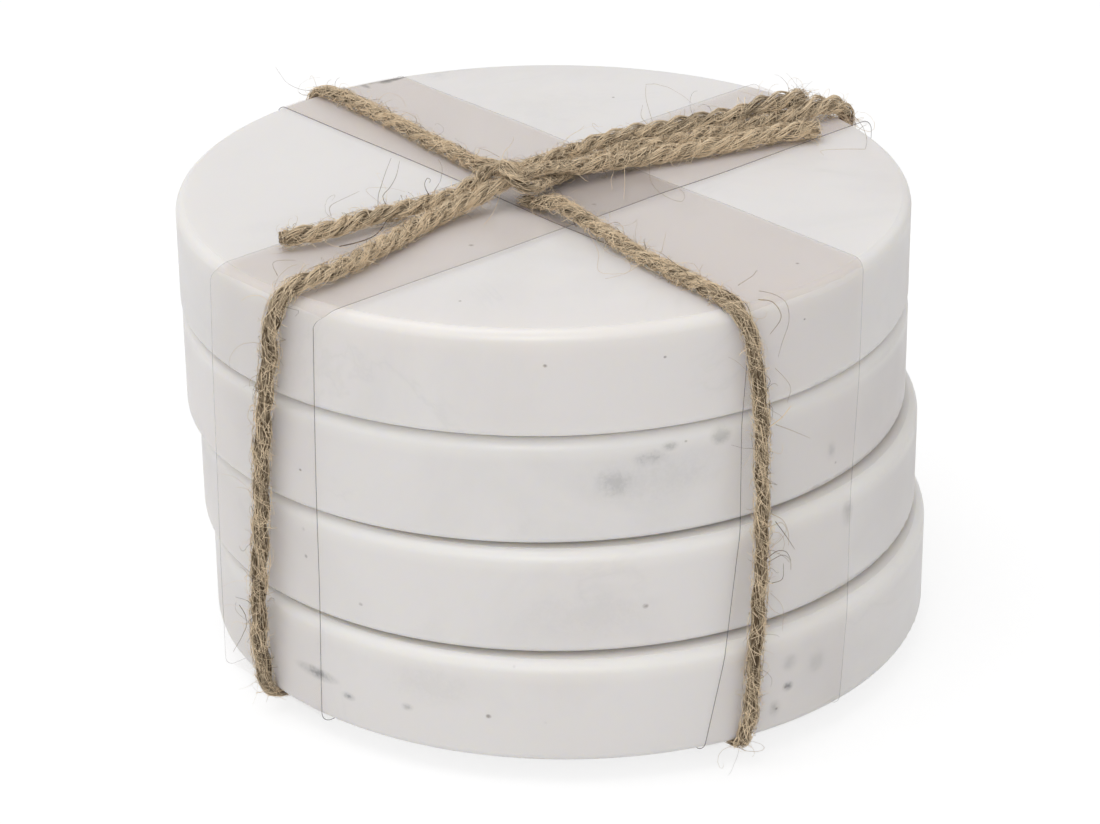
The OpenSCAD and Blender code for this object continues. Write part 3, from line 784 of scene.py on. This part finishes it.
def fuzz_strips(rng, strand, first_s, last_s, count):
    """A part of short flat hairs that lie on the twine and cross each other."""
    along = 6
    tau = np.linspace(0, 1, along)[None, :]
    shown = strand.shown(first_s, last_s)
    weight = 1 - 0.25 * np.abs(strand.t[shown, 2])
    s0 = strand.s[rng.choice(shown, count, p=weight / weight.sum())][:, None]
    s0 = s0 + rng.uniform(-0.3, 0.3, (count, 1))
    way = np.where(rng.random(count) < 0.5, -1, 1)[:, None]
    length = rng.gamma(2.6, 0.85, count)[:, None]
    lean = rng.uniform(-1.0, 1.0, count)[:, None]
    s = s0 + way * length * tau * np.cos(lean)
    angle = rng.uniform(-0.35 * math.pi, 1.35 * math.pi, count)[:, None]
    angle = angle + (length * np.sin(lean) * tau + 0.30 * way * length * tau) / strand.body
    curl = rng.normal(0, 0.30, count)[:, None]
    angle = angle + curl * np.sin(rng.uniform(2, 6, count)[:, None] * tau + rng.uniform(0, 6, count)[:, None])
    kind = rng.random(count)
    rise = np.select([kind < 0.5, kind < 0.8],
                     [np.abs(rng.normal(0.0, 0.08, count)), np.abs(rng.normal(0.1, 0.25, count))],
                     np.abs(rng.normal(0.35, 0.45, count)))
    arch = np.where(rng.random(count)[:, None] < 0.5, tau**1.5, 4 * tau * (1 - tau))
    radius = strand.body + rise[:, None] * arch + 0.02
    s = np.clip(s, 0.1, strand.s[-1] - 0.1)
    lines = strand.surface(s, angle, radius)
    out = unit(lines - strand.surface(s, angle, radius * 0.5)) + rng.normal(0, 0.55, (count, 1, 3))
    lines = keep_outside(lines)
    side = unit(np.cross(np.gradient(lines, axis=1), out))
    half = rng.uniform(0.018, 0.046, count)[:, None, None] * (1 - 0.5 * tau[..., None])
    points = np.concatenate([lines - side * half, lines + side * half], 1).reshape(-1, 3)
    left = np.arange(along - 1)
    quads = np.stack([left, left + along, left + along + 1, left + 1], 1)
    quads = (quads + (np.arange(count) * 2 * along)[:, None, None]).reshape(-1, 4)
    tone = np.clip(rng.normal(1.0, 0.2, count), 0.1, 1.3)
    tone = np.where(rng.random(count) < 0.14, rng.uniform(0.0, 0.3, count), tone)
    return points, quads, np.zeros((0, 3), int), np.repeat(tone, 2 * along)


def grow(rng, start, way, bend, stride, steps, turn, jitter=0.0, drop=0.0):
    """Hairs that grow from their roots step by step, and turn as they go."""
    lines = [start]
    for _ in range(steps):
        start = start + way * stride
        way = way + turn * np.cross(way, bend)
        if jitter:
            way = way + jitter * rng.normal(0, 1, way.shape)
        way = unit(way - np.array([0, 0, drop]))
        lines.append(start)
    return keep_outside(np.stack(lines, 1))


def tuft_lines(rng, strand, at_start, count):
    """Loose fibres that fan out of a cut end."""
    k, sign = (0, -1) if at_start else (len(strand.s) - 1, 1)
    round_it = rng.uniform(0, 2 * math.pi, count)
    reach = strand.body * np.sqrt(rng.random(count))
    back = rng.uniform(0.2, 3.0, count)
    s0 = np.clip(strand.s[k] - sign * back, 0, strand.s[-1])
    start = strand.surface(s0, round_it, reach * 1.05)
    spread = start - strand.surface(s0, round_it, reach * 0.05)
    way = unit(sign * strand.t[k] + 0.9 * spread / strand.body + 0.35 * rng.normal(0, 1, (count, 3)))
    bend = rng.normal(0, 0.8, (count, 3))
    stride = ((back * 0.5 + rng.gamma(1.6, 0.55, count)) / 7)[:, None]
    return grow(rng, start, way, bend, stride, 7, 0.25)


def stray_lines(rng, strand, first_s, last_s, count):
    """Long hairs that stand off the twine in loose curves."""
    k = rng.choice(strand.shown(first_s, last_s), count)
    round_it = rng.uniform(0.02, 0.98, count) * math.pi
    start = strand.surface(strand.s[k], round_it, np.full(count, strand.body * 0.9))
    side = np.where(rng.random(count) < 0.5, -1, 1)[:, None]
    way = 0.5 * unit(start - strand.p[k]) + 0.7 * side * strand.t[k] + 0.35 * rng.normal(0, 1, (count, 3))
    bend = rng.normal(0, 1, (count, 3)) * rng.uniform(0.3, 1.5, count)[:, None]
    stride = ((1.0 + rng.gamma(1.5, 1.3, count)) / 8)[:, None]
    return grow(rng, start, unit(way), bend, stride, 8, 0.32, 0.10, 0.04)


def threads(lines, half, tone):
    """A part of thin round hairs that taper to half their thickness."""
    taper = half[:, None] * (1 - 0.5 * np.linspace(0, 1, lines.shape[1]))
    along = unit(np.gradient(lines, axis=1))
    helper = np.where(np.abs(along[..., 2:]) < 0.9, np.array([0, 0, 1.0]), np.array([1.0, 0, 0]))
    side = unit(np.cross(along, helper))
    other = np.cross(along, side)
    around = (2 * math.pi * np.arange(3) / 3)[:, None]
    rings = (lines[:, :, None] + taper[..., None, None]
             * (side[:, :, None] * np.cos(around) + other[:, :, None] * np.sin(around)))
    tips = np.stack([lines[:, 0] - along[:, 0] * HAIR_ROOT, lines[:, -1] + along[:, -1] * HAIR_TIP], 1)
    return tubes(rings, tips, np.repeat(tone[:, None], lines.shape[1], 1))


def hair_piece(name, strand, mat, first_s, last_s, seed, fullness, placed, tuft):
    """The fuzz and stray hairs of one stretch of twine, with the hairs that have a place of their own."""
    rng = np.random.default_rng(seed)
    s = settings()
    length = (last_s - first_s) * fullness
    parts = [fuzz_strips(rng, strand, first_s, last_s, int(s.fuzz * length))]
    batches = [stray_lines(rng, strand, first_s, last_s, max(1, int(s.strays * length)))]
    if tuft:
        batches.append(tuft_lines(rng, strand, first_s == 0, tuft))
    for lines in batches:
        count = len(lines)
        half = rng.uniform(0.02, 0.042, count)
        tone = np.where(rng.random(count) < 0.25, rng.uniform(-0.05, 0.2, count),
                        np.clip(rng.normal(0.7, 0.22, count), 0, 1.1))
        parts.append(threads(lines, half, tone))
    for rows, half, tone in placed:
        line = smooth_curve(np.array(rows, float), PLACED_POINTS)[0]
        parts.append(threads(line[None], np.array([half]), np.array([tone])))
    points, faces, shades = joined(parts)
    return mesh_piece(name, points, faces, [mat], shades=shades)


# Film


def kink_shift(band, part, z, near_side):
    """How far a band steps aside on the side that faces the camera, where it was folded over the rim."""
    heights, right, left = zip(*band["kink"])
    step = np.interp(z, heights, right) * (0.5 - part) + np.interp(z, heights, left) * (0.5 + part)
    return step * near_side


def slice_outline(lateral, band, part):
    """Taut loop round the coasters' edge curves in one slice, as a convex outline in millimetres.
    A flat band stands off the round rims towards its edges, by that share of the way."""
    ca, sa = math.cos(math.radians(band["turn"])), math.sin(math.radians(band["turn"]))
    drift, off, flat = band["drift"], band["off"], band["flat"]
    rounds = np.radians(np.arange(0, 360, 5))
    points = []
    for i, (sx, sy) in enumerate(SLIP):
        along, across = sx * ca + sy * sa, sy * ca - sx * sa
        low = BASE_GAP + i * LAYER
        for z, er in ((low + COASTER_T - TOP_EDGE_R, TOP_EDGE_R), (low + BASE_EDGE_R, BASE_EDGE_R)):
            for side in (-1, 1):
                moved = lateral + drift * (STACK_TOP - z) / (STACK_TOP - BASE_GAP) - across
                moved += kink_shift(band, part, z, float(side < 0))
                half = flat * COASTER_R + (1 - flat) * math.sqrt(max(COASTER_R**2 - moved**2, 0)) - er
                points.append(np.stack([along + side * half + (er + off) * np.cos(rounds),
                                        z + (er + off) * np.sin(rounds)], 1))
    points = np.concatenate(points)
    points = points[np.lexsort((points[:, 1], points[:, 0]))]

    def chain(ordered):
        hull = []
        for q in ordered:
            while len(hull) > 1 and ((hull[-1][0] - hull[-2][0]) * (q[1] - hull[-2][1])
                                     - (hull[-1][1] - hull[-2][1]) * (q[0] - hull[-2][0])) <= 1e-9:
                hull.pop()
            hull.append(q)
        return hull

    lower, upper = chain(points), chain(points[::-1])
    return np.array(lower[:-1] + upper[:-1])


def cast(outline, angles, centre):
    """Where rays at these angles from the centre leave the outline."""
    rel = outline - centre
    ang = np.arctan2(rel[:, 1], rel[:, 0])
    order = np.argsort(ang)
    rel, ang = rel[order], ang[order]
    rel = np.concatenate([rel[-1:], rel, rel[:1]])
    ang = np.concatenate([[ang[-1] - 2 * math.pi], ang, [ang[0] + 2 * math.pi]])
    k = np.clip(np.searchsorted(ang, angles) - 1, 0, len(ang) - 2)
    p, q = rel[k], rel[k + 1]
    way = np.stack([np.cos(angles), np.sin(angles)], 1)
    edge = q - p
    cross = way[:, 0] * edge[:, 1] - way[:, 1] * edge[:, 0]
    r = (p[:, 0] * edge[:, 1] - p[:, 1] * edge[:, 0]) / cross
    return centre + way * r[:, None]


def loop_angles(centre):
    """Angles round a loop, closest at the four corners."""
    corners = sorted(math.atan2(z - centre[1], x - centre[0])
                     for x in (-CORNER_X, CORNER_X) for z in (BASE_GAP, STACK_TOP))
    near = math.radians(3.0)
    angles = []
    for corner, following in zip(corners, corners[1:] + [corners[0] + 2 * math.pi]):
        angles += list(np.linspace(corner - near, corner + near, 25)[:-1])
        count = 64 if following - corner > math.radians(90) else 40
        angles += list(np.linspace(corner + near, following - near, count)[:-1])
    angles = np.array(angles)
    return np.sort(np.where(angles > math.pi, angles - 2 * math.pi, angles))


def film_band(name, band, width, node):
    """A closed thin loop of film with a few soft waves and lifted edges."""
    rng = np.random.default_rng(band["seed"])
    turn = math.radians(band["turn"])
    centre = np.array([0.0, (STACK_TOP + BASE_GAP) / 2])
    angles = loop_angles(centre)
    thick = settings().film_thickness / MM
    waves = [(rng.integers(3, 12), rng.uniform(0, 6.28), rng.uniform(-5, 5), rng.uniform(0.2, 1))
             for _ in range(FILM_WAVES)]
    sheets = []
    for layer in (0, 1):
        rows = []
        for part in np.linspace(-0.5, 0.5, FILM_STRIPS + 1):
            lateral = band["at"] + part * width
            loop = cast(slice_outline(lateral, band, part), angles, centre)
            ripple = sum(a * np.sin(f * angles + ph + m * part * 2) for f, ph, m, a in waves) / 3
            lift = (0.05 + 0.10 * abs(part * 2) ** 6) * (1 + ripple)
            ahead = np.roll(loop, -1, 0) - np.roll(loop, 1, 0)
            normal = unit(np.stack([ahead[:, 1], -ahead[:, 0]], 1))
            loop = loop + normal * (np.clip(lift, 0.0, 0.3) + layer * thick)[:, None]
            across = lateral + band["drift"] * (STACK_TOP - loop[:, 1]) / (STACK_TOP - BASE_GAP)
            across += kink_shift(band, part, loop[:, 1], np.clip(0.5 - loop[:, 0] / 20, 0, 1))
            rows.append(np.stack([loop[:, 0] * math.cos(turn) - across * math.sin(turn),
                                  loop[:, 0] * math.sin(turn) + across * math.cos(turn), loop[:, 1]], 1))
        sheets.append(np.stack(rows, 1))
    points = np.concatenate(sheets).reshape(-1, 3)
    inner, outer = np.arange(len(points)).reshape(2, len(angles), FILM_STRIPS + 1)
    ahead_in, ahead_out = np.roll(inner, -1, 0), np.roll(outer, -1, 0)
    faces_out = np.stack([outer[:, :-1], outer[:, 1:], ahead_out[:, 1:], ahead_out[:, :-1]], -1)
    faces_in = np.stack([inner[:, :-1], ahead_in[:, :-1], ahead_in[:, 1:], inner[:, 1:]], -1)
    edge_a = np.stack([inner[:, 0], outer[:, 0], ahead_out[:, 0], ahead_in[:, 0]], -1)
    edge_b = np.stack([outer[:, -1], inner[:, -1], ahead_in[:, -1], ahead_out[:, -1]], -1)
    faces = np.concatenate([faces_out, faces_in]).reshape(-1, 4)
    # Faces below the top take the side material: its fainter tint is painted reflection of the bright
    # surroundings.
    side = (points[faces][:, :, 2].mean(1) < STACK_TOP - 0.6).astype(int)
    # One cut edge takes the dark edge material, painted shade of the thin shadow under the lifted film, and
    # the other takes the pale one.
    edges = [np.full(len(angles), 2 if band["dark"] == k else 3) for k in (0, 1)]
    obj = mesh_piece(name, points, [np.concatenate([faces, edge_a, edge_b])], film_finishes(),
                     face_materials=np.concatenate([side, *edges]))
    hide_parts(node)


# Operators


class COASTERS_OT_camera(bpy.types.Operator):
    """Set the camera at the photograph's viewing angle"""

    bl_idname = "coasters.camera"
    bl_label = "Camera"

    def execute(self, context):
        data = bpy.data.cameras.new("view_camera")
        data.sensor_fit = "HORIZONTAL"
        data.sensor_width = 36
        data.lens = settings().lens
        data.clip_start = 0.01
        camera = bpy.data.objects.new("view_camera", data)
        context.scene.collection.objects.link(camera)
        down, roll = math.radians(CAMERA_DOWN), math.radians(CAMERA_ROLL)
        ahead = Vector((*(way * math.cos(down) for way in CAMERA_WAY), -math.sin(down))).normalized()
        right = ahead.cross(Vector((0, 0, 1))).normalized()
        up = right.cross(ahead)
        turned_right = right * math.cos(roll) + up * math.sin(roll)
        turned_up = up * math.cos(roll) - right * math.sin(roll)
        axes = Matrix((turned_right, turned_up, -ahead)).transposed().to_4x4()
        camera.matrix_world = Matrix.Translation(CAMERA_PLACE) @ axes
        context.scene.camera = camera
        return {"FINISHED"}


def twine_strands():
    """Both lengths of twine as evenly sampled strands, each with the runs where its pieces part."""
    s = settings()
    d = s.twine_diameter / MM
    main = Strand(RIGHT_END_ROUTE[::-1][:-1] + MAIN_ROUTE + LEFT_END_ROUTE[1:], d, s.main_body)
    second = Strand(BACK_END_ROUTE[::-1][:-1] + SECOND_ROUTE, d, s.second_body)
    start = len(RIGHT_END_ROUTE) - 1
    main_cuts = [main.row_s[start + row] for row in (0, MAIN_CUT_ROW, len(MAIN_ROUTE) - 1)]
    start = len(BACK_END_ROUTE) - 1
    second_cuts = [second.row_s[start + row] for row in (0, SECOND_CUT_ROW)]
    return main, main_cuts, second, second_cuts


def twine_piece(name, fibres, node, low, high, seed, mat, fullness=1.0, tuft=0):
    """One stretch of twine and its hairs."""
    strand = fibres.strand
    obj = fibres.piece(name, mat, strand.index(low), strand.index(high))
    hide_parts(node)
    hairs = hair_piece(name.replace("jute_", "jute_hairs_"), strand, mat, low, high, seed, fullness,
                       LONG_HAIRS.get(name, ()), tuft)
    return obj, hairs


def free_end(name, fibres, node, low, high, seed, mat, fullness, tuft):
    """One free end of the twine. Its path from the knot to its cut is worked out but not used."""
    obj, hairs = twine_piece(name, fibres, node, low, high, seed, mat, fullness, tuft)
    strand = fibres.strand
    path = strand.p[strand.index(low):strand.index(high) + 1] * MM
    if low == 0:
        path = path[::-1]


class COASTERS_OT_twine(bpy.types.Operator):
    """Lay both lengths of jute twine, with their knot, three free ends and loose hairs"""

    bl_idname = "coasters.twine"
    bl_label = "Twine"

    def execute(self, context):
        s = settings()
        lay = s.lay_length / MM
        mat = jute()
        main, cuts, second, cuts2 = twine_strands()
        rim = main.row_s[len(RIGHT_END_ROUTE) - 1 + MAIN_ROUTE.index([46.4, -7.1, 65.2])]
        # The tones are painted light and painted shade along each strand: lighter on runs that catch more
        # light, and darker on others, most at the knot and at the second length's end, which goes under the
        # knot.
        one = Fibres(main, 11, lay, s.fibres, 3.0, 1.2,
                     swells=[(4, 4, 0.12), (rim + 1, 5, 0.22), (main.s[-1] - 3, 3, 0.1)],
                     tones=[(14, 16, 0.26), (rim, 10, 0.14), (cuts[0] + 10, 7, -0.12),
                            (cuts[0] + 32, 14, 0.14)])
        two = Fibres(second, 29, lay, s.fibres, 3.0, 1.0, swells=[(5, 4.5, 0.38), (21, 14, 0.3)],
                     tones=[(cuts2[0] + 34, 14, 0.14), (second.s[-1], 8, -0.35), (20, 14, -0.05)])
        free_end("jute_end_right", one, "twine_end_right", 0, cuts[0], 101, mat, 1.3, 110)
        free_end("jute_end_left", one, "twine_end_left", cuts[2], main.s[-1], 102, mat, 1.0, 30)
        free_end("jute_end_back", two, "twine_end_back", 0, cuts2[0], 103, mat, 1.4, 120)
        twine_piece("jute_main_left", one, "twine_main", cuts[0], cuts[1], 104, mat)
        twine_piece("jute_main_right", one, "twine_main", cuts[1], cuts[2], 105, mat)
        twine_piece("jute_second_back", two, "twine_second", cuts2[0], cuts2[1], 106, mat)
        twine_piece("jute_second_front", two, "twine_second", cuts2[1], second.s[-1], 107, mat)
        return {"FINISHED"}


class COASTERS_OT_film(bpy.types.Operator):
    """Wrap the two clear film bands round the stack"""

    bl_idname = "coasters.film"
    bl_label = "Film bands"

    def execute(self, context):
        s = settings()
        film_band("film_long", FILM_LONG, s.long_width / MM, "film_band_long")
        film_band("film_cross", FILM_CROSS, s.cross_width / MM, "film_band_cross")
        return {"FINISHED"}


def finish_node(name, mat):
    materials = bpy.data.objects[name].data.materials
    materials.clear()
    materials.append(mat)


class COASTERS_OT_coasters(bpy.types.Operator):
    """Finish the four coasters in marble, each with its own clouds and marks"""

    bl_idname = "coasters.coasters"
    bl_label = "Coasters"

    def execute(self, context):
        for index, name in enumerate(COASTERS):
            finish_node(name, marble(index))
        return {"FINISHED"}


class COASTERS_OT_pads(bpy.types.Operator):
    """Finish the felt dots under the coasters"""

    bl_idname = "coasters.pads"
    bl_label = "Felt dots"

    def execute(self, context):
        mat = felt()
        for name in PADS:
            finish_node(name, mat)
        return {"FINISHED"}


def seen_white(n, plain, share, strength):
    """The plain shader, mixed with white for what the camera sees, also in gloss and through film."""
    path = n.add("LightPath").outputs
    seen = n.maths("MAXIMUM", path["Is Camera Ray"], path["Is Glossy Ray"])
    seen = n.maths("MAXIMUM", seen, path["Is Transmission Ray"])
    glow = n.add("Emission", Color=(1, 1, 1), Strength=strength)
    mix = n.add("MixShader")
    for socket, value in zip(mix.inputs, (n.times(seen, share), plain, glow.outputs[0])):
        n.feed(socket, value)
    return mix.outputs[0]


def lamp(name, place, size, power):
    """A round soft lamp that points at the foot of the stack."""
    data = bpy.data.lights.new(name, "AREA")
    data.shape = "DISK"
    data.size = size
    data.energy = power
    obj = bpy.data.objects.new(name, data)
    bpy.context.scene.collection.objects.link(obj)
    obj.location = place
    obj.rotation_euler = (Vector(LAMP_AIM) - Vector(place)).to_track_quat("-Z", "Y").to_euler()


class COASTERS_OT_stage(bpy.types.Operator):
    """Lay the pale floor and set the soft studio light"""

    bl_idname = "coasters.stage"
    bl_label = "Stage"

    def execute(self, context):
        mesh = bpy.data.meshes.new("floor")
        corners = [(x * FLOOR_HALF, y * FLOOR_HALF, 0) for x, y in ((-1, -1), (1, -1), (1, 1), (-1, 1))]
        mesh.from_pydata(corners, [], [(0, 1, 2, 3)])
        floor = bpy.data.objects.new("floor", mesh)
        context.scene.collection.objects.link(floor)
        floor.location = (0, 0, -0.05 * MM)
        n = Finish("pale_floor")
        colour = tuple(settings().floor)
        tone = n.ramp(n.noise(n.place(), 3), (0.3, tuple(c * 0.99 for c in colour)), (0.7, colour))
        n.set(Base_Color=tone, Roughness=0.9)
        lit = seen_white(n, n.shader.outputs[0], 0.62, 1.24)
        n.feed(n.tree.nodes["Material Output"].inputs["Surface"], lit)
        mesh.materials.append(n.mat)
        world = bpy.data.worlds.new("studio")
        context.scene.world = world
        world.use_nodes = True
        n = Nodes(world.node_tree)
        sky = n.tree.nodes["Background"]
        n.feed(sky.inputs["Color"], (1, 1, 1))
        n.feed(sky.inputs["Strength"], 0.53)
        lit = seen_white(n, sky.outputs[0], 1.0, 1.0)
        n.feed(n.tree.nodes["World Output"].inputs["Surface"], lit)
        lamp("lamp_top", (-0.25, 0.15, 1.1), 0.9, 4.3)
        lamp("lamp_front", (-0.85, -0.8, 0.55), 0.7, 3.5)
        context.scene.view_settings.view_transform = "Standard"
        return {"FINISHED"}


class COASTERS_PT_panel(bpy.types.Panel):
    """Every step of the tied stack"""

    bl_idname = "COASTERS_PT_panel"
    bl_label = "Tied coaster stack"
    bl_space_type = "VIEW_3D"
    bl_region_type = "UI"
    bl_category = "Coasters"

    def draw(self, context):
        column = self.layout.column()
        for name in CoasterStackSettings.__annotations__:
            column.prop(context.scene.coaster_stack, name)
        for step in STEPS:
            column.operator(step.bl_idname)


STEPS = (COASTERS_OT_camera, COASTERS_OT_twine, COASTERS_OT_film, COASTERS_OT_coasters,
         COASTERS_OT_pads, COASTERS_OT_stage)
CLASSES = (CoasterStackSettings, *STEPS, COASTERS_PT_panel)


def register():
    for cls in CLASSES:
        bpy.utils.register_class(cls)
    bpy.types.Scene.coaster_stack = PointerProperty(type=CoasterStackSettings)


def unregister():
    del bpy.types.Scene.coaster_stack
    for cls in reversed(CLASSES):
        bpy.utils.unregister_class(cls)


def main():
    register()
    bpy.ops.coasters.camera()
    bpy.ops.coasters.twine()
    bpy.ops.coasters.film()
    bpy.ops.coasters.coasters()
    bpy.ops.coasters.pads()
    bpy.ops.coasters.stage()
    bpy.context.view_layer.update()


if __name__ == "__main__":
    main()
